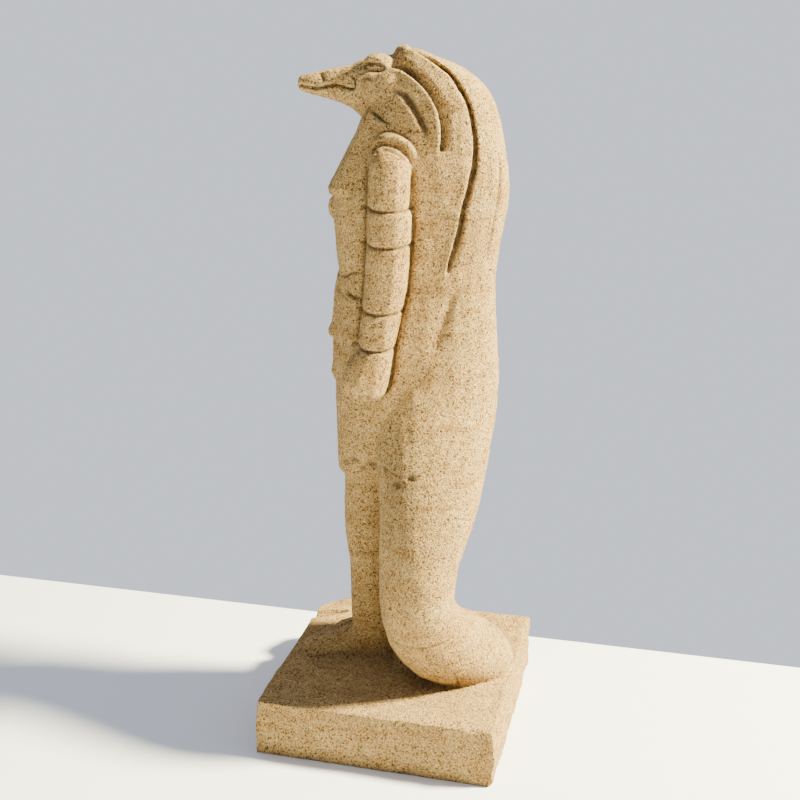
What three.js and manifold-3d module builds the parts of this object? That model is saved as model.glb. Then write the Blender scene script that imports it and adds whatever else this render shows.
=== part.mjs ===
// A small hand-carved sandstone statuette: a crocodile-headed Egyptian deity with a long wig and a
// heavy tail, cut in one piece with its square plinth. Millimetres, +Z up, origin under the plinth.
import * as THREE from 'three';
import { mergeVertices } from 'three/addons/utils/BufferGeometryUtils.js';
import Module from 'manifold-3d';

const wasm = await Module();
wasm.setup();

// Driving dimensions
const PLINTH_WIDTH = 91.5;
const PLINTH_DEPTH = 88.5;
const PLINTH_HEIGHT = 21.4;
const TURN = THREE.MathUtils.degToRad(14); // the figure faces a little to its left of the plinth's front
const MIDDLE = -13; // x of the figure's middle plane: it stands to the right, with its tail at its left
const GROOVE = 1.5; // half width and depth of a main carved line
const FINE_GROOVE = 0.8; // the same for a fine line
const SINK = 3; // how far a piece reaches into its neighbour

// In the figure's own frame x is its left, y its back and z up.
// Hood, back and tail, from the crown to the tip of the tail:
// tilt of the section in degrees, x, y and z of its centre, half width, half depth, squareness
const BACK_STATIONS = [
  [0, MIDDLE, -1, 250, 2.5, 1.6, 2],
  [0, MIDDLE, -0.1, 249, 6, 4.3, 2],
  [0, MIDDLE, 1.7, 247, 9, 7.3, 2.1],
  [0, MIDDLE, 5.4, 243, 12.5, 13.1, 2.2],
  [0, MIDDLE, 7.2, 237, 15.5, 19.2, 2.3],
  [0, MIDDLE, 8.4, 230.5, 17.8, 22.2, 2.4],
  [0, MIDDLE, 9.5, 218, 20.2, 24.5, 2.5],
  [0, MIDDLE, 10.7, 202, 21.3, 25.7, 2.6],
  [0, MIDDLE, 10.2, 188, 21, 24.6, 2.6],
  [0, MIDDLE, 9, 170, 20.3, 23.4, 2.5],
  [0, MIDDLE, 9.2, 150, 20.8, 24.4, 2.4],
  [0, MIDDLE + 1, 9.8, 132, 21.5, 25.2, 2.3],
  [0, -3.5, 10.3, 115, 21, 22.6, 2.2],
  [0, 9.5, 9.6, 98, 18.6, 19.2, 2.1],
  [0, 18, 7.7, 85, 17.2, 16.9, 2.1],
  [0, 23, 5, 70, 16.4, 14.2, 2.1],
  [5, 24, 4.6, 58, 16, 13.6, 2.1],
  [25, 22, 7.4, 46.5, 15.5, 14.2, 2.1],
  [50, 18, 14.5, 37, 15, 15, 2.1],
  [75, 12.5, 24.5, 31, 14.5, 13.6, 2.1],
  [90, 8.5, 32.5, 27.8, 13, 11.6, 2.1],
  [95, 6.5, 38, 26, 10, 9, 2.1],
  [95, 5.5, 42.3, 25, 3, 2.6, 2],
];

// Torso and kilt: z, half width, y of the front and of the back
const BODY_STATIONS = [
  [94.6, 14.5, -22.9, 6],
  [97.2, 16.6, -25.2, 10],
  [108, 19.2, -25.6, 14],
  [122, 21.4, -25.9, 22],
  [140, 21.7, -26.2, 27],
  [158, 21, -25.7, 28],
  [170, 20.5, -24.6, 27],
  [180, 20.9, -25.6, 28],
  [190, 21.3, -26.4, 29],
  [199, 21.6, -26.4, 30],
  [207.5, 21.2, -23.2, 28],
  [214, 20.2, -19.8, 25],
  [220, 18.8, -17, 21],
  [226, 17.2, -15.6, 16],
  [232, 15, -12.8, 10],
  [238, 12, -8, 6],
];
const BODY_SQUARENESS = 2.7;

// Head, from the tip of the snout to the inside of the wig: y, half width, z of the top and underside
const HEAD_STATIONS = [
  [-38.4, 1.8, 238.2, 235.6],
  [-37.6, 3, 239.4, 234.5],
  [-34.4, 4, 240.3, 233.4],
  [-29, 4.7, 241.5, 231.9],
  [-24, 5.6, 242.6, 230.4],
  [-19.5, 7.4, 243.6, 228.4],
  [-16.5, 9.2, 245, 225.6],
  [-13, 11.4, 246.2, 222],
  [-8, 13.6, 247, 219],
  [-2, 14.4, 246, 217],
  [6, 12.5, 243, 217],
];
const HEAD_SQUARENESS = 2.3;

// Arm: z, x from the middle plane to its centre, half width, y of its front and of its back,
// with the four carved rings of its armlet and bracelet
const ARM_STATIONS = [
  [217.6, 19.5, 1.6, -8.6, -5.6],
  [216, 20.5, 4.8, -11.6, -2.6],
  [212.5, 21.8, 6.9, -13.2, 0.4],
  [206, 22.2, 7.6, -13.8, 0.8],
  [198, 22.4, 7.7, -13.9, 0.8],
  [196.8, 22.4, 6.8, -13, 0.1],
  [195.7, 22.4, 7.9, -14.1, 1.3],
  [185.4, 22.4, 7.9, -14.2, 1.2],
  [184.3, 22.4, 7, -13.3, 0.4],
  [183.1, 22.4, 7.7, -14.2, 0.9],
  [170, 22.3, 7.3, -14.9, 0.2],
  [162.2, 22.2, 7, -15.6, -1.4],
  [161, 22.2, 6.1, -14.9, -2.1],
  [159.8, 22.2, 7.1, -15.9, -1.7],
  [149.2, 22.2, 6.9, -16.9, -3.8],
  [148, 22.2, 6, -16.1, -4.6],
  [146.6, 22.3, 6.9, -17.6, -4.3],
  [142.5, 22.4, 7.1, -20.9, -5],
  [136, 22.4, 7.4, -22.7, -5.8],
  [131.2, 22.2, 6.6, -21.2, -7.2],
  [128.8, 22, 3.5, -17.5, -10],
];

// Leg: z, half width, y of the front and of the back, on the forward (left) side
const LEG_STATIONS = [
  [104, 8.2, -22.4, -2],
  [82, 8.2, -22.7, -3],
  [70, 7.8, -22.3, -4],
  [60, 7.1, -20.7, -5],
  [48, 6.8, -20.4, -5],
  [38, 7, -20, -4],
  [28, 7.6, -19.6, -3],
  [18, 8, -19.6, -3],
];
const LEG_X = -6.5;
const STRIDE = 10; // how far the right leg stands behind the left one
const LEG_SPACING = 13;

// Foot: y, half width and z of its top
const FOOT_STATIONS = [
  [-2.4, 3, 26],
  [-5, 6, 29.5],
  [-13, 6.8, 33],
  [-20, 6.8, 32],
  [-27, 7, 28.6],
  [-33, 7.4, 26.3],
  [-37, 7, 25],
  [-39, 5, 23.6],
];
const FOOT_X = -5.2;

// Stone left standing between the legs and the tail: z, half width, y of the front and of the back
const WEB_STATIONS = [
  [104, 17, -6, 14],
  [80, 17, -5, 13],
  [60, 18, -5, 12],
  [40, 18, -4, 12],
  [18, 18, -4, 13],
];
const WEB_X = -7;

// Wig lappet on the chest: z, half width, y of the front and of the back
const LAPPET_STATIONS = [
  [234, 2, -11, -6],
  [226, 4.6, -16.3, -8],
  [220, 5.6, -18.6, -9],
  [214, 6.2, -21.7, -10],
  [207.5, 6.8, -25, -12],
  [202, 7, -28.1, -14],
  [199.8, 6.2, -27.4, -15],
];
const LAPPET_OUT = 9;

// The kilt's front panel and the shorter one under it, in the same columns
const PANEL_STATIONS = [
  [170.5, 3.6, -25.2, -14],
  [164.3, 4.6, -26.4, -14],
  [158, 5.4, -26.8, -14],
  [152, 6.2, -27.4, -14],
  [148.9, 6.6, -28.7, -14],
  [147.3, 6.2, -27.9, -14],
];
const UNDER_PANEL_STATIONS = [
  [149, 4.8, -26.8, -14],
  [137.2, 5.4, -27, -14],
  [133.6, 5.6, -27.6, -14],
  [130.9, 4.8, -26.6, -14],
];

// Lines carved into both sides, seen from the side: y, z
const WIG_FRONT = [[-6.7, 236.6], [-1.5, 233.7], [2.2, 228.6], [4.8, 224.1], [5.9, 220.8]];
const WIG_MIDDLE = [[-6.7, 244.2], [-2.1, 243.3], [4, 239.6], [8.2, 235], [11.4, 229.6], [12.4, 222], [11.3, 215]];
const WIG_REAR = [
  [1.8, 248], [8.6, 244.6], [13.7, 240.8], [16.9, 236.3], [19.6, 231.4], [21.6, 224], [22.4, 215.6],
  [20.9, 204.9], [18.9, 197.1], [17, 186], [14.5, 174],
];
const BACK_LINE = [[31, 215.3], [31.6, 204], [30.4, 192], [27.5, 177.1]];
const CHEEK_LINE = [[-13.7, 229.6], [-9.9, 226], [-5.4, 224.3]];
const MOUTH_LINE = [[-37, 236], [-32.1, 235.4], [-26, 236.5], [-21.3, 235.7], [-19, 236.2], [-19.4, 239.4]];
const SHOULDER_LINE = [[-12.4, 214.6], [-9.6, 216.4], [-5.6, 216.4], [-1.6, 214.6], [1.2, 211.2]];
const SHOULDER_RIDGE = [[-12.6, 216.6], [-8.6, 219.4], [-3.6, 219.2], [0.4, 216.6], [2.6, 212]];
const ARM_REAR = [[2, 208], [2, 190], [0.8, 170], [-3.8, 148.5], [-5.4, 136], [-8.4, 128.6]];
const ARM_FRONT = [[-14.9, 208], [-15, 184], [-16.2, 165.3], [-17.6, 149]];
const BELT = [
  { z: 172.4, half: 20.6, front: -24.7, back: 27 },
  { z: 165.2, half: 20.8, front: -25, back: 27 },
];
const BELT_REACH = 0.42; // how far the belt's lines run round, as a part of half a turn to each side
const UPPER_LID = [[-16.6, 243.4], [-14.2, 244.8], [-10.7, 245], [-7.9, 243.6]];
const EYE = { y: -12, z: 242.7, length: 3.7, height: 1.3, depth: 1.1 };
const BROW = { out: 6.4, y: -10.6, z: 245.4, radii: [2.6, 4.6, 1.7] };
const PENDANT = { y: -25.2, z: 194.2, radii: [4.6, 3.3, 4.7] };

const TOE_GAP = 3; // from one toe to the next
const TOE_TIP = 38.6; // how far the toe lines reach forward
const TOE_ROOT = 31.5;

// Worn and broken places of the plinth, in its own frame
const WEAR = 0.5; // how far the top edges are rubbed back
const SPLIT = 1.7; // how deep the rough rear face goes
const CORNER_WEAR = 2.6; // the rounded far corner at the front
const NOTCH = [[-24.4, -46], [-26.6, -41.7], [-29, -37], [-31, -31.5]];
const NOTCH_THICK = [3.6, 3.4, 2.6, 1];
const CHIPS = [
  { radii: [3, 3.4, 2.6], centre: [46.6, -45.2, 22] },
  { radii: [3.4, 3.4, 3], centre: [46.8, 45.2, -0.4] },
  { radii: [3, 5, 3], centre: [46.4, 37, 22.4] },
];

// A value read from one column of a list of stations, with a smooth curve that doesn't overshoot
function smooth(values, place) {
  const last = values.length - 1;
  const i = Math.min(Math.floor(place), last - 1);
  const t = place - i;
  const step = (k) => values[k + 1] - values[k];
  const slope = (k) => {
    if (k === 0 || k === last) return 0;
    const before = step(k - 1);
    const after = step(k);
    return before * after <= 0 ? 0 : (2 * before * after) / (before + after);
  };
  const t2 = t * t;
  const t3 = t2 * t;
  return values[i] * (2 * t3 - 3 * t2 + 1) + values[i + 1] * (3 * t2 - 2 * t3)
    + slope(i) * (t3 - 2 * t2 + t) + slope(i + 1) * (t3 - t2);
}

// A closed skin of rings: ring(t, angle) gives a point for t from 0 to 1 along the piece
function skin(sides, rows, ring) {
  const tube = new THREE.CylinderGeometry(1, 1, 1, sides, rows);
  const position = tube.attributes.position;
  for (let i = 0; i < position.count; i += 1) {
    const t = 0.5 - position.getY(i);
    const reach = Math.hypot(position.getX(i), position.getZ(i));
    const angle = Math.atan2(-position.getZ(i), position.getX(i));
    const point = reach > 0.5 ? ring(t, angle) : middle(ring, t);
    position.setXYZ(i, point.x, point.y, point.z);
  }
  return tube;
}

function middle(ring, t) {
  return ring(t, 0).add(ring(t, Math.PI)).multiplyScalar(0.5);
}

// A rounded square's point: squareness 2 is an ellipse, more is squarer
function rounded(angle, halfWidth, halfDepth, squareness) {
  const power = 2 / squareness;
  const across = Math.cos(angle);
  const along = Math.sin(angle);
  return [
    halfWidth * Math.sign(across) * Math.abs(across) ** power,
    halfDepth * Math.sign(along) * Math.abs(along) ** power,
  ];
}

// A skin through stations, each read as a list of numbers and turned into a ring by place()
function loft(stations, sides, rowsEach, place) {
  const columns = stations[0].map((_, c) => stations.map((row) => row[c]));
  const spans = stations.length - 1;
  return solid(skin(sides, spans * rowsEach, (t, angle) => {
    const row = columns.map((values) => smooth(values, t * spans));
    return place(row, angle);
  }));
}

// A round bar along points, thick[i] at point i, flattened sideways by flat
function bar(points, thick, sides, rowsEach, flat = 1) {
  const curve = new THREE.CatmullRomCurve3(points);
  const frames = curve.computeFrenetFrames(100);
  const rows = (points.length - 1) * rowsEach;
  return solid(skin(sides, rows, (t, angle) => {
    const k = Math.round(t * 100);
    const radius = smooth(thick, t * (thick.length - 1));
    return curve.getPoint(t)
      .addScaledVector(frames.normals[k], Math.cos(angle) * radius)
      .addScaledVector(frames.binormals[k], -Math.sin(angle) * radius * flat);
  }));
}

function vector(x, y, z) {
  return new THREE.Vector3(x, y, z);
}

// A geometry as a solid that can be joined and cut
function solid(geometry) {
  const bare = geometry.index ? geometry : mergeVertices(geometry);
  bare.deleteAttribute('normal');
  bare.deleteAttribute('uv');
  const merged = mergeVertices(bare, 1e-4);
  const mesh = new wasm.Mesh({
    numProp: 3,
    vertProperties: new Float32Array(merged.attributes.position.array),
    triVerts: new Uint32Array(merged.index.array),
  });
  const made = new wasm.Manifold(mesh);
  if (made.volume() < 0) throw new Error('a piece is inside out');
  return made;
}

function box(size, centre, turn = [0, 0, 0]) {
  const geometry = new THREE.BoxGeometry(...size);
  geometry.applyMatrix4(new THREE.Matrix4().makeRotationFromEuler(new THREE.Euler(...turn)));
  geometry.translate(...centre);
  return solid(geometry);
}

function ball(radii, centre, sides = 16, rows = 10) {
  const geometry = new THREE.SphereGeometry(1, sides, rows);
  geometry.rotateX(Math.PI / 2);
  geometry.scale(...radii);
  geometry.translate(...centre);
  return solid(geometry);
}

function join(pieces) {
  return pieces.reduce((sum, piece) => sum.add(piece));
}

// Hood, back and tail in one long form
function backAndTail() {
  return loft(BACK_STATIONS, 24, 2, ([tilt, x, y, z, half, depth, squareness], angle) => {
    const turned = THREE.MathUtils.degToRad(tilt);
    const [across, along] = rounded(angle, half, depth, squareness);
    return vector(x + across, y + along * Math.cos(turned), z + along * Math.sin(turned));
  });
}

// A level section between a front and a back, for the upright forms
function upright(stations, x, squareness, sides, rowsEach) {
  return loft(stations, sides, rowsEach, ([z, half, front, back], angle) => {
    const [across, along] = rounded(angle, half, (back - front) / 2, squareness);
    return vector(x + across, (front + back) / 2 + along, z);
  });
}

function torsoAndKilt() {
  return upright([...BODY_STATIONS].reverse(), MIDDLE, BODY_SQUARENESS, 22, 1);
}

function head() {
  return loft(HEAD_STATIONS, 16, 1, ([y, half, top, under], angle) => {
    const [across, rise] = rounded(angle, half, (top - under) / 2, HEAD_SQUARENESS);
    return vector(MIDDLE + across, y, (top + under) / 2 + rise);
  });
}

function arm(side) {
  return loft(ARM_STATIONS, 10, 1, ([z, out, half, front, back], angle) => {
    const [across, along] = rounded(angle, half, (back - front) / 2, 2.2);
    return vector(MIDDLE + side * out + across, (front + back) / 2 + along, z);
  });
}

function leg(x, behind) {
  const stations = LEG_STATIONS.map(([z, half, front, back]) => [z, half, front + behind, back + behind]);
  return upright(stations, x, 2.3, 12, 1);
}

function foot(x, behind) {
  const ground = PLINTH_HEIGHT - SINK;
  return loft(FOOT_STATIONS, 12, 1, ([y, half, top], angle) => {
    const [across, rise] = rounded(angle, half, top - ground, 2.4);
    return vector(x + across, y + behind, ground + Math.max(-rise, -SINK));
  });
}

// Toe lines on top of a foot
function toes(x, behind) {
  return [-1, 0, 1].map((k) => bar([
    vector(x + k * TOE_GAP, behind - TOE_ROOT, 27.6),
    vector(x + k * TOE_GAP * 1.1, behind - TOE_TIP, 23.4),
  ], [0.3, FINE_GROOVE, FINE_GROOVE], 4, 1));
}

// A shape's skin seen from one side: gives x for a place (y, z)
function sideOf(shape) {
  const made = shape.getMesh();
  const corner = (i) => {
    const start = made.triVerts[i] * made.numProp;
    return made.vertProperties.subarray(start, start + 3);
  };
  const area = (a, b, y, z) => (b[1] - a[1]) * (z - a[2]) - (b[2] - a[2]) * (y - a[1]);
  return (side, y, z) => {
    let out = -Infinity;
    for (let i = 0; i < made.triVerts.length; i += 3) {
      const [a, b, c] = [corner(i), corner(i + 1), corner(i + 2)];
      const parts = [area(b, c, y, z), area(c, a, y, z), area(a, b, y, z)];
      const whole = parts[0] + parts[1] + parts[2];
      if (whole * side <= 0 || parts.some((part) => part * side < 0)) continue;
      out = Math.max(out, (side * (parts[0] * a[0] + parts[1] * b[0] + parts[2] * c[0])) / whole);
    }
    if (out === -Infinity) throw new Error(`nothing to carve at ${y}, ${z}`);
    return side * out;
  };
}

// A carved line on one side, thinning out at both ends; lift moves it out of the stone
function line(skinX, side, places, radius, lift = 0) {
  const points = places.map(([y, z]) => vector(skinX(side, y, z) + side * lift, y, z));
  const thick = places.map((_, i) => (i === 0 || i === places.length - 1 ? radius * 0.35 : radius));
  return bar(points, thick, 4, 1);
}

// A line carved round the front of the kilt
function beltLine({ z, half, front, back }) {
  const points = [-1, -0.75, -0.5, -0.25, 0, 0.25, 0.5, 0.75, 1].map((k) => {
    const angle = Math.PI * (1.5 + k * BELT_REACH);
    const [across, along] = rounded(angle, half, (back - front) / 2, BODY_SQUARENESS);
    return vector(MIDDLE + across, (front + back) / 2 + along, z);
  });
  return bar(points, [0.3, FINE_GROOVE, FINE_GROOVE, FINE_GROOVE, 0.3], 4, 1);
}

function eye(skinX, side) {
  const x = skinX(side, EYE.y, EYE.z);
  const socket = ball([EYE.depth, EYE.length, EYE.height], [x + side * 0.1, EYE.y, EYE.z], 8, 6);
  const lens = ball([EYE.depth, EYE.length * 0.8, EYE.height * 0.7], [x - side * 0.5, EYE.y, EYE.z], 8, 6);
  return { socket, lens };
}

const rough = join([
  backAndTail(),
  torsoAndKilt(),
  head(),
  upright(LAPPET_STATIONS, MIDDLE + LAPPET_OUT, 2.6, 12, 1),
  upright(LAPPET_STATIONS, MIDDLE - LAPPET_OUT, 2.6, 12, 1),
  upright(PANEL_STATIONS, MIDDLE, 5, 12, 1),
  upright(UNDER_PANEL_STATIONS, MIDDLE, 5, 12, 1),
  upright(WEB_STATIONS, WEB_X, 3, 10, 1),
  leg(LEG_X, 0),
  leg(LEG_X - LEG_SPACING, STRIDE),
  foot(FOOT_X, 0),
  foot(FOOT_X - LEG_SPACING - 1, STRIDE + 2),
  ball(PENDANT.radii, [MIDDLE, PENDANT.y, PENDANT.z], 10, 6),
  ball(BROW.radii, [MIDDLE + BROW.out, BROW.y, BROW.z], 8, 5),
  ball(BROW.radii, [MIDDLE - BROW.out, BROW.y, BROW.z], 8, 5),
]);
const bodySide = sideOf(rough);

const armed = join([rough, arm(1), arm(-1)]);

const SIDES = [1, -1];
const raised = SIDES.flatMap((side) => [
  line(bodySide, side, SHOULDER_RIDGE, 2.3, -0.4),
  line(bodySide, side, UPPER_LID, 0.8, 0),
  eye(bodySide, side).lens,
]);
const sunk = SIDES.flatMap((side) => [
  eye(bodySide, side).socket,
  line(bodySide, side, WIG_FRONT, GROOVE, 0.2),
  line(bodySide, side, WIG_MIDDLE, GROOVE * 1.1, 0.2),
  line(bodySide, side, WIG_REAR, GROOVE),
  line(bodySide, side, BACK_LINE, FINE_GROOVE),
  line(bodySide, side, CHEEK_LINE, FINE_GROOVE),
  line(bodySide, side, MOUTH_LINE, FINE_GROOVE),
  line(bodySide, side, SHOULDER_LINE, GROOVE * 0.8),
  line(bodySide, side, ARM_REAR, GROOVE),
  line(bodySide, side, ARM_FRONT, FINE_GROOVE),
]);
const around = BELT.map(beltLine);
const toeLines = [...toes(FOOT_X, 0), ...toes(FOOT_X - LEG_SPACING - 1, STRIDE + 2)];
const figure = armed.subtract(join([...sunk, ...around, ...toeLines])).add(join(raised));

// The plinth's block with rubbed top edges and a rough rear face
function plinth() {
  const block = new THREE.BoxGeometry(PLINTH_WIDTH, PLINTH_DEPTH, PLINTH_HEIGHT, 8, 8, 2);
  const position = block.attributes.position;
  for (let i = 0; i < position.count; i += 1) {
    const [x, y, z] = [position.getX(i), position.getY(i), position.getZ(i)];
    position.setXYZ(i, ...worn(x, y, z));
  }
  block.translate(0, 0, PLINTH_HEIGHT / 2);
  const notch = bar(NOTCH.map(([x, y]) => vector(x, y, PLINTH_HEIGHT + 0.4)), NOTCH_THICK, 8, 2, 1);
  const chips = CHIPS.map(({ radii, centre }) => ball(radii, centre, 8, 6));
  return solid(block).subtract(join([notch, ...chips]));
}

function worn(x, y, z) {
  const onSide = Math.abs(x) > PLINTH_WIDTH / 2 - 0.1;
  const onFront = y < -PLINTH_DEPTH / 2 + 0.1;
  const onRear = y > PLINTH_DEPTH / 2 - 0.1;
  const onTop = z > PLINTH_HEIGHT / 2 - 0.1;
  const uneven = 0.5 + 0.5 * Math.sin(x * 0.13 + y * 0.11);
  const corner = Math.max(0, 1 - Math.hypot(x + PLINTH_WIDTH / 2, y + PLINTH_DEPTH / 2) / 12);
  const rubbed = (onTop ? WEAR * (0.4 + uneven) : 0) + corner * CORNER_WEAR * (onTop ? 1 : 0.5);
  const split = onRear ? SPLIT * Math.max(0, Math.sin(x * 0.37 + 1) * Math.cos(z * 0.3 + x * 0.12)) : 0;
  const inX = onSide ? rubbed * Math.sign(x) : 0;
  const inY = onFront ? -rubbed : Number(onRear) * (rubbed + split);
  const down = onTop && (onSide || onFront || onRear) ? rubbed * 0.7 : 0;
  return [x - inX, y - inY, z - down];
}

// What is left of the block once the crumbs between the cuts have fallen away
function largest(shape) {
  return shape.decompose().reduce((best, piece) => (piece.volume() > best.volume() ? piece : best));
}

const statue = largest(figure.rotate([0, 0, THREE.MathUtils.radToDeg(TURN)]).add(plinth()));

// The finished solid as a mesh
function asMesh(shape, name, material) {
  const made = shape.getMesh();
  const geometry = new THREE.BufferGeometry();
  const points = new Float32Array((made.vertProperties.length / made.numProp) * 3);
  for (let i = 0; i < points.length / 3; i += 1) {
    points.set(made.vertProperties.subarray(i * made.numProp, i * made.numProp + 3), i * 3);
  }
  geometry.setAttribute('position', new THREE.BufferAttribute(points, 3));
  geometry.setIndex(new THREE.BufferAttribute(new Uint32Array(made.triVerts), 1));
  geometry.computeVertexNormals();
  const mesh = new THREE.Mesh(geometry, material);
  mesh.name = name;
  return mesh;
}

const sandstone = new THREE.MeshStandardMaterial({ color: 0xc9ab78, roughness: 0.95, metalness: 0 });
const group = new THREE.Group();
group.add(asMesh(statue, 'deity_figure', sandstone));

export default group;
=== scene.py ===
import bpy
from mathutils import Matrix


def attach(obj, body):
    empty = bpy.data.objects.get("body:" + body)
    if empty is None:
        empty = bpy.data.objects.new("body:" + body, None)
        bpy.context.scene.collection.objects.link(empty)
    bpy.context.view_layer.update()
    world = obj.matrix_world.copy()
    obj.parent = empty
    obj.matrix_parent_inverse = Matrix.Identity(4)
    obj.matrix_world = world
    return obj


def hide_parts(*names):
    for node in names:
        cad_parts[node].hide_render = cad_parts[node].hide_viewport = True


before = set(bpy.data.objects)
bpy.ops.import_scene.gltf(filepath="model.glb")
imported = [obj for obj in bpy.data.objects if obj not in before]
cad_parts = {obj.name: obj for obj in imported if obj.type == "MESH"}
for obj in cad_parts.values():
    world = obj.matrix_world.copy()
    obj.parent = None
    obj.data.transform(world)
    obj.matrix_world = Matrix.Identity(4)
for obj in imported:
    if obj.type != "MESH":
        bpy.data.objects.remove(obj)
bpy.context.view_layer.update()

import math

import bpy
import numpy as np
from mathutils import Matrix, Vector, noise
from mathutils.kdtree import KDTree

MM = 0.001

# The figure stands in a frame of its own, turned on the plinth: x its left, y its back, z up
TURN = math.radians(14)
MIDDLE = -13.0
PLINTH_TOP = 21.4
PLINTH_SLANT = 0.2

VOXEL = 0.55
MOST_FACES = 190000
SOFT_ROUNDS = 200

# Camera, as the photograph was taken: place in mm, azimuth, elevation and roll in degrees
CAMERA_PLACE = (405.1, 94.3, 252.8)
CAMERA_TURN = (103.38, 16.98, 0.6)
FOCAL_PIXELS = 1190.7
FRAME_PIXELS = 800
SENSOR = 36.0

# Carved lines on both sides, seen from the side: y and z in mm, front to back or top to bottom
WIG_FRONT = [(-6.7, 236.6), (-1.5, 233.7), (2.2, 228.6), (4.8, 224.1), (6.2, 220.4)]
WIG_MIDDLE = [
    (-6.9, 243.4), (-2.1, 242.4), (3.6, 238.6), (7.4, 234.3), (10.1, 229.3), (11.2, 224.2),
    (11.4, 219.2), (10.6, 215.4),
]
WIG_REAR = [
    (0.2, 249.6), (3.4, 247.9), (8.6, 244.6), (13.7, 240.8), (16.9, 236.3), (19.6, 231.4), (21.3, 225.4),
    (22.3, 219.3), (22.2, 212.1), (20.9, 204.9), (18.9, 197.1), (17.6, 189.1), (15.6, 181.1),
    (14.0, 174.5),
]
WIG_TRAIL = [(18.2, 173.5), (15.2, 163.0), (11.4, 151.4), (9.1, 142.6)]
BACK_LINE = [
    (31.0, 215.3), (31.6, 209.5), (31.6, 202.6), (31.0, 197.3), (30.2, 192.1), (28.6, 183.2),
    (27.5, 177.1),
]
CHEEK_LINE = [(-13.9, 230.0), (-9.9, 226.2), (-5.2, 224.0)]
MOUTH_LINE = [
    (-38.6, 236.3), (-36.4, 235.9), (-32.1, 235.4), (-27.5, 236.3), (-24.7, 236.6), (-21.3, 235.7),
    (-19.1, 235.7), (-18.8, 238.0), (-19.6, 239.9),
]
SNOUT_MARK = [(-30.9, 241.0), (-28.6, 237.4)]
JAW_MARK = [(-26.5, 235.3), (-25.1, 232.6)]
UPPER_LID = [(-17.4, 242.6), (-15.6, 244.2), (-13.0, 245.0), (-10.3, 244.9), (-7.6, 243.2)]
UNDER_EYE = [(-17.0, 239.0), (-15.4, 239.9), (-13.6, 239.9), (-11.5, 238.7)]
UNDER_EYE_SHADE = [(-17.4, 238.2), (-15.4, 239.0), (-13.4, 239.0), (-11.0, 237.8)]
SHOULDER_INNER = [(-12.4, 215.0), (-10.4, 216.6), (-7.7, 217.1), (-3.4, 215.5), (1.2, 211.6)]
SHOULDER_OUTER = [(-12.6, 218.2), (-9.4, 221.4), (-5.2, 222.2), (-0.2, 219.8), (2.6, 216.2), (3.6, 212.0)]
ARM_REAR = [
    (1.6, 210.0), (1.2, 198.2), (1.9, 190.0), (1.3, 182.5), (0.8, 175.2), (0.2, 167.9), (-1.4, 161.5),
    (-3.9, 148.5), (-5.7, 134.6), (-8.4, 129.1),
]
ARM_FRONT = [(-14.2, 212.0), (-14.5, 196.0), (-14.7, 182.7), (-15.7, 165.3), (-17.4, 148.6)]
BELT_TOP = [(-26.0, 170.3), (-22.5, 171.0), (-19.4, 173.0), (-16.5, 173.6)]
BELT_UNDER = [(-21.8, 166.3), (-19.3, 164.7), (-16.0, 164.6)]
RINGS = [
    (196.7, -13.6, 0.6), (184.3, -13.8, 0.6), (161.1, -15.4, -2.2), (148.0, -17.0, -4.6),
]
FINGERS = [
    [(-20.2, 133.6), (-19.4, 130.2)],
    [(-16.9, 132.8), (-16.3, 128.9)],
    [(-13.5, 132.6), (-13.1, 128.9)],
]
SHOULDER_RIDGE = [(-12.6, 216.8), (-8.8, 219.6), (-3.8, 219.4), (0.4, 216.8), (2.4, 212.4)]
TAIL_CRACK = [(-7.5, 46.4), (-1.0, 45.0), (6.0, 44.6), (14.0, 45.8), (19.0, 48.4)]
BODY_CRACK = [(3.5, 195.0), (10.0, 194.2), (17.0, 192.8), (24.0, 193.4)]
LEG_CRACK = [(-21.0, 66.5), (-15.0, 65.4), (-9.0, 66.0)]
TAIL_CREASE = [(19.4, 28.4), (20.0, 25.4), (20.2, 22.2)]
NOTCH = [(-23.6, -47.0), (-26.4, -42.0), (-29.0, -37.0), (-31.0, -31.5)]
HEM_PITS = [
    (-22.0, 101.6, 0.9), (-18.6, 103.4, 1.2), (-15.2, 100.6, 0.8), (-11.4, 102.2, 1.3), (-7.2, 104.8, 0.8),
    (-3.0, 101.2, 1.1), (1.8, 103.8, 0.9),
]


# Small helpers for places and lines

def curve(places, steps=10):
    """A smooth line through places, as closely set points."""
    rows = np.array(places, float)
    rows = np.vstack([2 * rows[0] - rows[1], rows, 2 * rows[-1] - rows[-2]])
    out = []
    for i in range(1, len(rows) - 2):
        a, b, c, d = rows[i - 1:i + 3]
        for t in np.arange(steps) / steps:
            out.append(0.5 * (2 * b + (c - a) * t + (2 * a - 5 * b + 4 * c - d) * t ** 2
                              + (3 * b - a - 3 * c + d) * t ** 3))
    out.append(rows[-2])
    return np.array(out)


def along(flat, places):
    """For each flat point: distance to the line, which side of it, and how far along, 0 to 1."""
    line = curve(places)
    best = np.full(len(flat), 1e9)
    side = np.zeros(len(flat))
    where = np.zeros(len(flat))
    for i in range(len(line) - 1):
        step = line[i + 1] - line[i]
        off = flat - line[i]
        t = np.clip(off @ step / (step @ step), 0, 1)
        gap = off - t[:, None] * step
        dist = np.hypot(gap[:, 0], gap[:, 1])
        near = dist < best
        best[near] = dist[near]
        side[near] = np.sign(step[0] * off[near, 1] - step[1] * off[near, 0])
        where[near] = (i + t[near]) / (len(line) - 1)
    return best, side, where


def bell(value, width):
    return np.exp(-(value / width) ** 2)


def ease(value, low, high):
    t = np.clip((value - low) / (high - low), 0, 1)
    return t * t * (3 - 2 * t)


def fade(where, end=0.12):
    return ease(where, -0.02, end) * ease(1 - where, -0.02, end)


# The stone as points that can be pushed about

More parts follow.
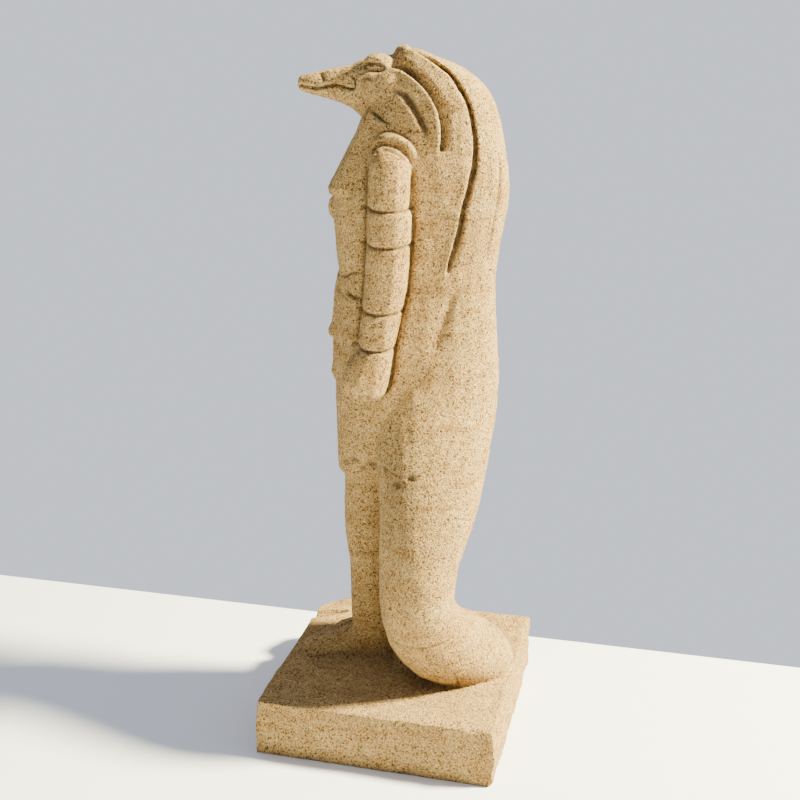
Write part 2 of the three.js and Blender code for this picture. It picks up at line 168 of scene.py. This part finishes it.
class Stone:
    def __init__(self, node):
        self.mesh = remeshed(node)
        count = len(self.mesh.vertices)
        flat = np.zeros(count * 3)
        self.mesh.vertices.foreach_get("co", flat)
        self.world = flat.reshape(-1, 3) / MM
        edges = np.zeros(len(self.mesh.edges) * 2, int)
        self.mesh.edges.foreach_get("vertices", edges)
        self.edges = edges.reshape(-1, 2)
        # Painted shade for the carved lines, filled in as they are cut
        self.groove_shade = np.zeros(count)
        self.update()

    def update(self):
        self.mesh.vertices.foreach_set("co", (self.world * MM).ravel())
        self.mesh.update()
        flat = np.zeros(len(self.world) * 3)
        self.mesh.vertices.foreach_get("normal", flat)
        self.normal = turned(flat.reshape(-1, 3), -TURN)
        self.local = turned(self.world, -TURN)

    def push(self, amount):
        """Moves each point out along its normal, in mm."""
        self.world = self.world + turned(self.normal, TURN) * amount[:, None]
        self.update()

    def soften(self, weight, rounds):
        """Wears the surface down without shrinking it."""
        count = len(self.world)
        a, b = self.edges[:, 0], self.edges[:, 1]
        near = np.bincount(a, minlength=count) + np.bincount(b, minlength=count)
        for _ in range(rounds):
            for step in (0.6, -0.62):
                mean = np.stack([
                    np.bincount(a, self.world[b, k], count) + np.bincount(b, self.world[a, k], count)
                    for k in range(3)
                ], 1) / near[:, None]
                self.world = self.world + (weight * step)[:, None] * (mean - self.world)
        self.update()


def turned(points, angle):
    c, s = math.cos(angle), math.sin(angle)
    return np.stack([c * points[:, 0] - s * points[:, 1], s * points[:, 0] + c * points[:, 1], points[:, 2]], 1)


def remeshed(node):
    """A fine even mesh of a CAD node's shape."""
    copy = bpy.data.objects.new("rough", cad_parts[node].data.copy())
    bpy.context.scene.collection.objects.link(copy)
    fine = copy.modifiers.new("fine", "REMESH")
    fine.mode = "VOXEL"
    fine.voxel_size = VOXEL * MM
    mesh = bpy.data.meshes.new_from_object(copy.evaluated_get(bpy.context.evaluated_depsgraph_get()))
    bpy.data.objects.remove(copy)
    return mesh


def carve_sides(stone):
    """Cuts the lines that are seen from the side, on both sides of the figure."""
    x, y, z = stone.local.T
    flat = np.stack([y, z], 1)
    out = x - MIDDLE
    amount = np.zeros(len(x))
    facing = np.maximum(ease(np.abs(stone.normal[:, 0]), 0.08, 0.3), ease(z, 242, 246))
    high = z > 120
    on_body = high & (np.abs(out) < 24.6)
    on_arm = high & (np.abs(out) > 17) & (y > -26) & (y < 4)

    def near(places, reach):
        low, top = np.min(places, 0) - reach, np.max(places, 0) + reach
        return (flat[:, 0] > low[0]) & (flat[:, 0] < top[0]) & (flat[:, 1] > low[1]) & (flat[:, 1] < top[1])

    def groove(places, depth, width, where=on_body, ends=0.12, lip=0.0, drop=0.0, spread=6.0, shade_strength=1.0):
        """lip raises the side before the line, drop lowers the one behind it, and the last argument sets the shade
        painted into the line.
        """
        pick = np.flatnonzero(near(places, 3 * width + spread) & where)
        dist, side, t = along(flat[pick], places)
        cut = -depth * bell(dist, width)
        ahead = side < 0
        raised = lip * bell(dist - 1.6 * width, 1.5 * width) * ahead
        lowered = -drop * np.exp(-dist / spread) * ~ahead
        shown = fade(t, ends) * facing[pick]
        amount[pick] += (cut + raised + lowered) * shown
        # Painted shade: how deep in the line each point lies, for the material to darken
        stone.groove_shade[pick] = np.maximum(stone.groove_shade[pick], shade_strength * bell(dist, width) * shown)

    arms = high & (np.abs(out) < 27)
    low = (z < 120) & (x > 0)
    groove(WIG_FRONT, 1.3, 0.9, ends=0.2, lip=0.3)
    groove(WIG_MIDDLE, 1.7, 0.8, ends=0.08, lip=0.6, drop=0.8, spread=3.0)
    groove(WIG_REAR, 2.0, 0.62, ends=0.03, lip=0.6, drop=0.6, spread=4.0)
    groove(WIG_TRAIL, 0.8, 1.7, ends=0.4, drop=0.3, shade_strength=0.2)
    groove(BACK_LINE, 0.6, 0.42, shade_strength=0.7)
    groove(CHEEK_LINE, 1.1, 0.6, ends=0.3, lip=0.3)
    groove(MOUTH_LINE, 1.3, 0.42, ends=0.02)
    groove(SNOUT_MARK, 0.8, 0.5, ends=0.3)
    groove(JAW_MARK, 0.6, 0.45, ends=0.3)
    groove(UNDER_EYE, -0.6, 0.6, ends=0.3, shade_strength=0)
    groove(UNDER_EYE_SHADE, 0.6, 0.45, ends=0.3)
    groove(SHOULDER_RIDGE, -0.8, 1.7, where=arms, ends=0.2, shade_strength=0)
    groove(SHOULDER_INNER, 1.5, 0.6, where=arms, ends=0.15)
    groove(SHOULDER_OUTER, 0.7, 0.6, where=arms, ends=0.3, shade_strength=0.6)
    groove(ARM_REAR, 1.3, 0.55, where=arms, ends=0.03)
    groove(ARM_FRONT, 0.9, 0.5, where=arms, ends=0.08)
    groove(BELT_TOP, 1.0, 0.42, ends=0.15)
    groove(BELT_UNDER, 1.1, 0.5, ends=0.15)
    for places in FINGERS:
        groove(places, 0.9, 0.5, where=on_arm, ends=0.25)
    groove(BODY_CRACK, 0.3, 0.28, ends=0.3, shade_strength=0.6)
    groove(TAIL_CRACK, 0.5, 0.32, where=low, ends=0.2, shade_strength=0.8)
    groove(LEG_CRACK, 0.4, 0.3, where=low & (y < -6), ends=0.2, shade_strength=0.7)
    groove(TAIL_CREASE, 0.7, 0.5, where=low, ends=0.2, shade_strength=0.8)
    for place_y, place_z, radius in HEM_PITS:
        pick = (z > 96) & (z < 112) & (out > 4)
        pit = bell(np.hypot((y - place_y) / 1.5, z - place_z), radius) * pick * facing
        amount -= 0.8 * radius * pit
        # Painted shade in each hem pit
        stone.groove_shade = np.maximum(stone.groove_shade, pit)
    fist = bell(np.hypot(y + 18.5, z - 137), 5.0) * on_arm * facing
    stone.push(amount + 0.7 * fist)


def carve_plinth(stone):
    """The notch across the far front corner and the broken rear face."""
    x, y, z = stone.world.T
    amount = np.zeros(len(x))
    on_top = (z > PLINTH_TOP - 6) & (z < PLINTH_TOP + 1) & (x < -15) & (y < -25)
    pick = np.flatnonzero(on_top)
    dist, _, t = along(stone.world[pick, :2], NOTCH)
    cut = bell(dist, 1.5 - 0.8 * t)
    amount[pick] -= 1.1 * cut
    # Painted shade in the notch
    stone.groove_shade[pick] = np.maximum(stone.groove_shade[pick], 0.8 * cut)
    rear = (y > 38) & (z < PLINTH_TOP)
    for i in np.flatnonzero(rear):
        px, py, pz = stone.world[i]
        step = noise.noise(Vector((px * 0.13, py * 0.13, pz * 0.2)))
        fine = noise.noise(Vector((px * 0.45, py * 0.45, pz * 0.6)))
        amount[i] -= max(0.0, 1.3 * round(step * 4) / 4 + 0.5 * fine) * float(stone.normal[i, 1] > 0.3)
    stone.push(amount)


def carve_eyes(stone):
    x, y, z = stone.local.T
    pick = (z > 238) & (z < 247) & (y < -5) & (y > -20)
    across = (y + 11.9) / 4.3
    up = (z - 242.8 + 0.06 * (y + 11.9)) / 1.75
    reach = np.hypot(across, up)
    facing = ease(np.abs(stone.normal[:, 0]), 0.1, 0.4)
    socket = -1.2 * bell(np.maximum(reach - 0.45, 0), 0.45)
    lens = np.clip(1 - np.hypot(across * 1.3, up * 1.7) ** 2, 0, 1)
    stone.push(np.where(pick, (socket + 1.0 * np.sqrt(lens)) * facing, 0))
    # Painted shade round the eye's rim
    rim = bell(reach - 0.72, 0.2) * pick * facing
    stone.groove_shade = np.maximum(stone.groove_shade, rim)


def carve_rings(stone):
    """The armlet and bracelet: worn lines round the arms."""
    x, y, z = stone.local.T
    arm = (np.abs(x - MIDDLE) > 15) & (z > 130) & (z < 214)
    amount = np.zeros(len(x))
    for level, front, back in RINGS:
        on_arm = arm & (y > front - 2.5) & (y < back + 1.6)
        middle = (front + back) / 2
        sag = level - 0.3 * (1 - ((y - middle) / (back - front) * 2) ** 2)
        line = bell(z - sag, 0.4) * on_arm
        amount -= 0.75 * line
        # Painted shade in each ring line
        stone.groove_shade = np.maximum(stone.groove_shade, line)
    stone.push(amount)


def carve_feet(stone):
    """Toes as soft ridges on the front of each foot."""
    x, y, z = stone.local.T
    amount = np.zeros(len(x))
    for foot_x, behind in ((-5.2, 0.0), (-19.2, 12.0)):
        on_foot = (np.abs(x - foot_x) < 8.5) & (y < behind - 28) & (y > behind - 42) & (z > 21.8) & (z < 31)
        spread = 1 + 0.03 * (-(y - behind) - 30)
        place = (x - foot_x) / (3.0 * spread)
        ridge = np.cos(place * 2 * math.pi)
        amount += np.where(on_foot, 0.45 * ridge * ease(behind - 29 - y, 0, 3), 0)
    stone.push(amount)


def rise(height):
    """How steeply the bedding climbs: the plinth's layers slant, the figure's lie level."""
    return PLINTH_SLANT if height < PLINTH_TOP else 0.0


def weather(stone):
    """Hand-rubbed waviness, and layers worn a little more than others."""
    amount = np.zeros(len(stone.world))
    for i, (px, py, pz) in enumerate(stone.world):
        amount[i] = (0.22 * noise.noise(Vector((px, py, pz)) * 0.11)
                     + 0.10 * noise.noise(Vector((px + 50, py, pz)) * 0.31)
                     + 0.09 * noise.noise(Vector((px, py + 50, pz)) * 0.8)
                     + 0.09 * noise.noise(Vector((px * 0.05, py * 0.05, (pz - rise(pz) * py) * 0.8))))
    stone.push(amount)


def thin(mesh):
    """Fewer triangles, kept where the carving needs them."""
    holder = bpy.data.objects.new("holder", mesh)
    bpy.context.scene.collection.objects.link(holder)
    faces = sum(len(p.vertices) - 2 for p in mesh.polygons)
    fewer = holder.modifiers.new("fewer", "DECIMATE")
    fewer.ratio = min(1.0, MOST_FACES / faces)
    made = bpy.data.meshes.new_from_object(holder.evaluated_get(bpy.context.evaluated_depsgraph_get()))
    bpy.data.objects.remove(holder)
    return made


def mark_groove_shade(stone, mesh):
    """Writes how deep in a carved line each point of the thinned mesh lies, as painted shade for the lines."""
    tree = KDTree(len(stone.world))
    for i, place in enumerate(stone.world):
        tree.insert(place, i)
    tree.balance()
    values = [stone.groove_shade[tree.find(vertex.co / MM)[1]] for vertex in mesh.vertices]
    mesh.attributes.new("groove_shade", "FLOAT", "POINT").data.foreach_set("value", values)


def wear(stone):
    """How much of the rounds each place takes: 1 on the smooth limbs, little at sharp tips and the plinth."""
    x, y, z = stone.local.T
    figure = ease(z, PLINTH_TOP - 0.5, PLINTH_TOP + 2.0)
    arm = ease(np.abs(x - MIDDLE), 18.0, 20.0)
    face = ease(z, 218, 224) * ease(-y, 10.0, 13.0)
    chest = ease(-y, 21.5, 23.5) * ease(z, 120, 126) * ease(222 - z, 0, 6) * (1 - arm)
    feet = ease(36 - z, 0, 4) * ease(2 - y, 0, 4)
    weight = 0.06 + 0.94 * figure
    weight = weight * (1 - 0.68 * face) * (1 - 0.84 * chest) * (1 - 0.7 * feet * figure)
    return weight


def carved_stone():
    stone = Stone("deity_figure")
    stone.soften(wear(stone), SOFT_ROUNDS)
    carve_rings(stone)
    carve_sides(stone)
    carve_eyes(stone)
    carve_feet(stone)
    carve_plinth(stone)
    weather(stone)
    mesh = thin(stone.mesh)
    mark_groove_shade(stone, mesh)
    for face in mesh.polygons:
        face.use_smooth = True
    piece = bpy.data.objects.new("carved_figure", mesh)
    bpy.context.scene.collection.objects.link(piece)
    return piece


# Materials

class Nodes:
    """Short names for building a node tree."""

    def __init__(self, holder, shader="Principled BSDF"):
        holder.use_nodes = True
        self.tree = holder.node_tree
        self.shader = self.tree.nodes[shader]

    def add(self, kind, links=None, **settings):
        node = self.tree.nodes.new(kind)
        for name, value in settings.items():
            setattr(node, name, value)
        for name, value in (links or {}).items():
            socket = node.inputs[name]
            if isinstance(value, bpy.types.NodeSocket):
                self.tree.links.new(value, socket)
            else:
                socket.default_value = value
        return node

    def ramp(self, fac, stops, mode="LINEAR"):
        node = self.add("ShaderNodeValToRGB", {"Fac": fac})
        node.color_ramp.interpolation = mode
        marks = node.color_ramp.elements
        while len(marks) < len(stops):
            marks.new(0.5)
        for mark, (place, colour) in zip(marks, stops):
            mark.position = place
            mark.color = (*colour, 1)
        return node.outputs["Color"]

    def noise(self, place, scale, detail=2.0, rough=0.5):
        node = self.add("ShaderNodeTexNoise", {
            "Vector": place, "Scale": scale, "Detail": detail, "Roughness": rough,
        })
        return node.outputs["Fac"]

    def mix(self, fac, a, b, kind="MIX"):
        node = self.add("ShaderNodeMix", data_type="RGBA", blend_type=kind)
        sockets = [s for s in node.inputs if s.enabled]
        for socket, value in zip(sockets, (fac, a, b)):
            if isinstance(value, bpy.types.NodeSocket):
                self.tree.links.new(value, socket)
            else:
                socket.default_value = value
        return [s for s in node.outputs if s.enabled][0]

    def math(self, kind, a, b=0.0):
        node = self.add("ShaderNodeMath", operation=kind)
        for socket, value in zip(node.inputs, (a, b)):
            if isinstance(value, bpy.types.NodeSocket):
                self.tree.links.new(value, socket)
            else:
                socket.default_value = value
        return node.outputs[0]


GRAIN = 0.00034  # a sand grain's width in metres
DARK_GRAIN = 0.00055  # a dark mineral grain's width in metres
STONE_TINT = (0.92, 0.92, 0.88)
# Colour of the painted shade in carved lines, cracks, pits, ring lines and the eyes' rims
GROOVE_SHADE_COLOUR = (0.10, 0.065, 0.035)


def sandstone():
    material = bpy.data.materials.new("sandstone")
    n = Nodes(material)
    place = n.add("ShaderNodeTexCoord").outputs["Object"]

    layers = n.add("ShaderNodeMapping", {
        "Vector": place, "Rotation": (0.05, -0.04, 0), "Scale": (12, 12, 260),
    }).outputs["Vector"]
    slanted = n.add("ShaderNodeMapping", {
        "Vector": place, "Rotation": (-PLINTH_SLANT, 0, 0), "Scale": (12, 12, 420),
    }).outputs["Vector"]
    height = n.add("ShaderNodeSeparateXYZ", {"Vector": place}).outputs["Z"]
    on_figure = n.math("GREATER_THAN", height, PLINTH_TOP * MM)
    bedding = n.mix(on_figure, n.noise(slanted, 1.0, 3.0, 0.6), n.noise(layers, 1.0, 3.0, 0.6))
    broad = n.noise(place, 28.0, 3.0, 0.55)
    patch = n.noise(place, 140.0, 3.0, 0.6)

    warm = n.ramp(broad, [(0.3, (0.40, 0.245, 0.095)), (0.7, (0.52, 0.355, 0.155))])
    cool = n.ramp(bedding, [(0.36, (0.34, 0.195, 0.075)), (0.52, (0.48, 0.32, 0.135)), (0.7, (0.54, 0.385, 0.185))])
    base = n.mix(0.5, warm, cool)
    base = n.mix(0.3, base, n.ramp(patch, [(0.35, (0.32, 0.185, 0.07)), (0.65, (0.58, 0.42, 0.205))]))

    grains = n.add("ShaderNodeTexVoronoi", {"Vector": place, "Scale": 1 / GRAIN})
    split = n.add("ShaderNodeSeparateColor", {"Color": grains.outputs["Color"]})
    shade = n.ramp(split.outputs["Red"], [
        (0.0, (0.34, 0.27, 0.20)), (0.16, (0.66, 0.57, 0.43)), (0.38, (0.95, 0.93, 0.86)),
        (0.7, (1.14, 1.14, 1.08)), (0.9, (1.5, 1.54, 1.55)),
    ], "CONSTANT")
    grained = n.mix(0.9, base, shade, "MULTIPLY")
    spots = n.add("ShaderNodeTexVoronoi", {"Vector": place, "Scale": 1 / DARK_GRAIN})
    spot_split = n.add("ShaderNodeSeparateColor", {"Color": spots.outputs["Color"]})
    spot = n.ramp(spot_split.outputs["Red"], [
        (0.0, (0.12, 0.085, 0.06)), (0.045, (0.38, 0.22, 0.11)), (0.1, (1.0, 1.0, 1.0)),
    ], "CONSTANT")
    colour = n.mix(0.8, grained, spot, "MULTIPLY")

    # Pits in some layers, darkened as painted shade, with a dip in the bump below
    pits = n.noise(place, 620.0, 2.0, 0.6)
    in_layer = n.ramp(bedding, [(0.30, (1, 1, 1)), (0.42, (0, 0, 0))])
    pit = n.ramp(pits, [(0.62, (0, 0, 0)), (0.72, (1, 1, 1))])
    pit_shade = n.mix(1.0, pit, in_layer, "MULTIPLY")
    colour = n.mix(n.math("MULTIPLY", pit_shade, 0.7), colour, (0.16, 0.095, 0.045, 1))

    # Painted shade: carved lines, cracks and pits darkened by how deep in them each point lies
    groove_shade = n.add("ShaderNodeAttribute", attribute_name="groove_shade").outputs["Fac"]
    colour = n.mix(n.math("MULTIPLY", groove_shade, 0.75), colour, (*GROOVE_SHADE_COLOUR, 1))
    colour = n.mix(1.0, colour, (*STONE_TINT, 1), "MULTIPLY")

    n.tree.links.new(colour, n.shader.inputs["Base Color"])
    n.shader.inputs["Roughness"].default_value = 0.95
    n.shader.inputs["Specular IOR Level"].default_value = 0.15

    relief = n.math("ADD", n.math("MULTIPLY", grains.outputs["Distance"], -0.8), n.noise(place, 1500.0, 3.0, 0.65))
    relief = n.math("ADD", relief, n.math("MULTIPLY", pit, -0.5))
    bump = n.add("ShaderNodeBump", {"Height": relief, "Strength": 0.8, "Distance": 0.0004})
    n.tree.links.new(bump.outputs["Normal"], n.shader.inputs["Normal"])
    return material


def plain(name, colour, roughness):
    material = bpy.data.materials.new(name)
    shader = Nodes(material).shader
    shader.inputs["Base Color"].default_value = (*colour, 1)
    shader.inputs["Roughness"].default_value = roughness
    return material


# Camera, floor and light

def aim(obj, place, target):
    obj.location = place
    obj.rotation_mode = "QUATERNION"
    obj.rotation_quaternion = (Vector(target) - Vector(place)).to_track_quat("-Z", "Y")


def camera():
    data = bpy.data.cameras.new("camera")
    data.sensor_width = SENSOR
    data.lens = FOCAL_PIXELS / FRAME_PIXELS * SENSOR
    azimuth, elevation, roll = (math.radians(v) for v in CAMERA_TURN)
    back = Vector((math.sin(azimuth) * math.cos(elevation), -math.cos(azimuth) * math.cos(elevation), math.sin(elevation)))
    right = Vector((math.cos(azimuth), math.sin(azimuth), 0))
    up = back.cross(right)
    side = right * math.cos(roll) + up * math.sin(roll)
    top = up * math.cos(roll) - right * math.sin(roll)
    obj = bpy.data.objects.new("camera", data)
    obj.matrix_world = Matrix.Translation(Vector(CAMERA_PLACE) * MM) @ Matrix((side, top, back)).transposed().to_4x4()
    bpy.context.scene.collection.objects.link(obj)
    bpy.context.scene.camera = obj


def floor():
    corners = [(-0.105, 3.0), (3.0, 3.0), (3.0, -3.0), (-0.03, -3.0)]
    mesh = bpy.data.meshes.new("floor")
    mesh.from_pydata([(x, y, 0) for x, y in corners][::-1], [], [(0, 1, 2, 3)])
    obj = bpy.data.objects.new("floor", mesh)
    obj.data.materials.append(plain("floor", FLOOR_COLOUR, 0.6))
    bpy.context.scene.collection.objects.link(obj)


def lamp(name, place, target, size, power, colour):
    data = bpy.data.lights.new(name, "AREA")
    data.shape = "DISK"
    data.size = size
    data.energy = power
    data.color = colour
    obj = bpy.data.objects.new(name, data)
    aim(obj, place, target)
    bpy.context.scene.collection.objects.link(obj)


KEY_COLOUR = (1.0, 0.93, 0.62)
KEY_POWER = 190
SKY_WINDOW = (0.86, 0.91, 1.0)
SKY_ROOM = (0.17, 0.185, 0.215)
SKY_TOP = (0.62, 0.68, 0.80)
FLOOR_COLOUR = (0.90, 0.91, 0.94)


def light():
    """Low sun from behind, a bright window side and a dim room on the camera's side."""
    lamp("key", (-0.24, 1.04, 0.98), (0, 0, 0.12), 0.22, KEY_POWER, KEY_COLOUR)
    world = bpy.data.worlds.new("studio")
    n = Nodes(world, "Background")
    way = n.add("ShaderNodeSeparateXYZ", {"Vector": n.add("ShaderNodeTexCoord").outputs["Generated"]})
    across = n.math("ADD", n.math("MULTIPLY", way.outputs["X"], 0.5), 0.5)
    around = n.ramp(across, [(0.3, SKY_WINDOW), (0.75, SKY_ROOM)])
    high = n.ramp(way.outputs["Z"], [(0.35, (0, 0, 0)), (0.85, (1, 1, 1))])
    n.tree.links.new(n.mix(high, around, (*SKY_TOP, 1)), n.shader.inputs["Color"])
    n.shader.inputs["Strength"].default_value = 1.0
    bpy.context.scene.world = world


camera()
floor()
light()
figure = carved_stone()
figure.data.materials.clear()
figure.data.materials.append(sandstone())
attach(figure, "root")
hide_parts("deity_figure")
